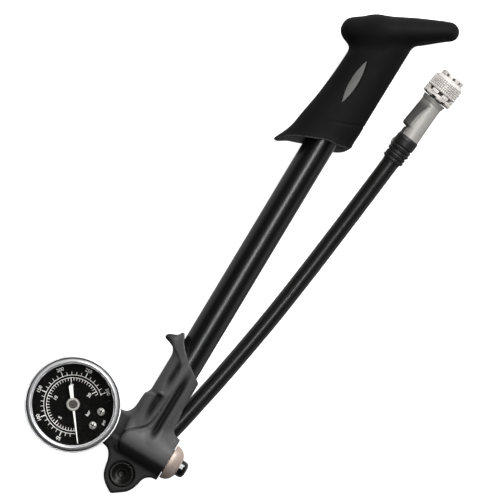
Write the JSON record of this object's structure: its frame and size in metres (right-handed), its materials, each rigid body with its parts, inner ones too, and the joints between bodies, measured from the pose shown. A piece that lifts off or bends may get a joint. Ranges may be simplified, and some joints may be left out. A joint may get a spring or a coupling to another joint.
{
  "type": "mini pump",
  "caption": "Hand-held T-handled mini pump for bicycle suspension, with a dial gauge, a bleeder button, a swivelling hose and a knurled screw-on valve chuck.",
  "frame": {"origin": "on the hose swivel's axis, in the plane that the pump lies on (the back face of the pivot post's flange)", "axes": "+Y along the barrel towards the handle, +Z out of the gauge's face, +X away from the gauge towards the bleeder button"},
  "size_m": [0.1024, 0.2673, 0.03],
  "materials": {
    "nylon": "moulded glass-filled nylon, satin",
    "anodised_black": "black anodised, satin gloss",
    "soft_grip": "soft-touch matte black",
    "inlay_grey": "moulded grey inlay",
    "hose_rubber": "smooth satin black hose",
    "boot_rubber": "matte black moulded rubber",
    "seal_rubber": "black seal rubber",
    "nickel": "polished nickel plate",
    "satin_metal": "satin grey die casting",
    "steel": "ground steel",
    "black_steel": "black gloss steel",
    "chrome": "bright chrome plate",
    "brass": "machined brass",
    "dial_black": "gloss black printed dial",
    "needle_white": "white painted needle",
    "clear_lens": "clear flat lens",
    "button_black": "glossy black button"
  },
  "bodies": {
    "foot": {"base_body": "nylon", "barrel_tube": "anodised_black", "barrel_seal": "seal_rubber", "barrel_gland": "nylon", "rod_wiper": "seal_rubber", "check_valve_seat": "brass", "check_valve_spring": "steel", "pivot_post": "steel", "pivot_screw": "black_steel", "gauge_case": "black_steel", "gauge_bezel": "chrome", "gauge_lens": "clear_lens", "gauge_dial": "dial_black", "dial_screw_upper": "nickel", "dial_screw_lower": "nickel", "gauge_socket": "brass", "bourdon_tube": "brass", "movement_plate": "brass", "bleeder_housing": "nickel", "bleeder_spring": "steel"},
    "check_ball": {"check_valve_ball": "steel"},
    "needle": {"gauge_needle": "needle_white", "needle_pinion": "brass"},
    "sector": {"sector_gear": "brass"},
    "bleeder": {"bleeder_button": "button_black", "bleeder_pin": "brass", "bleeder_seal": "seal_rubber"},
    "plunger": {"piston_rod": "steel", "piston": "brass", "piston_o_ring": "seal_rubber", "rod_bumper": "seal_rubber", "rod_nut": "steel"},
    "handle": {"handle_shell": "soft_grip", "handle_inlay": "inlay_grey"},
    "hose_arm": {"swivel_eye": "black_steel", "swivel_o_ring_lower": "seal_rubber", "swivel_o_ring_upper": "seal_rubber", "hose_ferrule": "nickel", "hose": "hose_rubber", "strain_relief": "boot_rubber", "chuck_body": "satin_metal", "lever_pin": "black_steel", "chuck_seal": "seal_rubber", "depressor_pin": "brass"},
    "lock_ring": {"lock_ring": "nickel"},
    "thread_ring": {"thread_ring": "nickel"},
    "lever": {"chuck_lever": "satin_metal"}
  },
  "joints": [
    {"name": "handle_slide", "type": "slide", "parent": "foot", "child": "plunger", "axis": [0, 1, 0], "range_m": [0, 0.16]},
    {"name": "handle_turn", "type": "hinge", "parent": "plunger", "child": "handle", "pos_m": [0, 0.24, 0.015], "axis": [0, 1, 0], "continuous": true},
    {"name": "hose_swivel", "type": "hinge", "parent": "foot", "child": "hose_arm", "pos_m": [0, 0, 0], "axis": [0, 0, -1], "range_deg": [0, 220]},
    {"name": "lock_ring_turn", "type": "hinge", "parent": "hose_arm", "child": "lock_ring", "pos_m": [0.035, 0.222, 0.0077], "axis": [0.1547, 0.988, 0], "continuous": true},
    {"name": "thread_ring_turn", "type": "hinge", "parent": "hose_arm", "child": "thread_ring", "pos_m": [0.035, 0.222, 0.0077], "axis": [0.1547, 0.988, 0], "continuous": true},
    {"name": "lever_swing", "type": "hinge", "parent": "hose_arm", "child": "lever", "pos_m": [0.03304, 0.20945, 0.0056], "axis": [0.988, -0.1547, 0], "range_deg": [0, 90]},
    {"name": "bleeder_press", "type": "slide", "parent": "foot", "child": "bleeder", "axis": [-1, 0, 0], "range_m": [0, 0.0015], "stiffness_N_per_m": 400},
    {"name": "sector_swing", "type": "hinge", "parent": "foot", "child": "sector", "pos_m": [-0.0464, 0.0162, 0.0216], "axis": [0, 0, 1], "range_deg": [0, 80]},
    {"name": "needle_turn", "type": "hinge", "parent": "foot", "child": "needle", "pos_m": [-0.0359, 0.0162, 0.0216], "axis": [0, 0, 1], "range_deg": [-258, 0]},
    {"name": "check_valve_lift", "type": "slide", "parent": "foot", "child": "check_ball", "axis": [0, -1, 0], "range_m": [0, 0.0008], "stiffness_N_per_m": 20}
  ],
  "couplings": [
    {"joint": "needle_turn", "follows": "sector_swing", "ratio": -3.2}
  ]
}
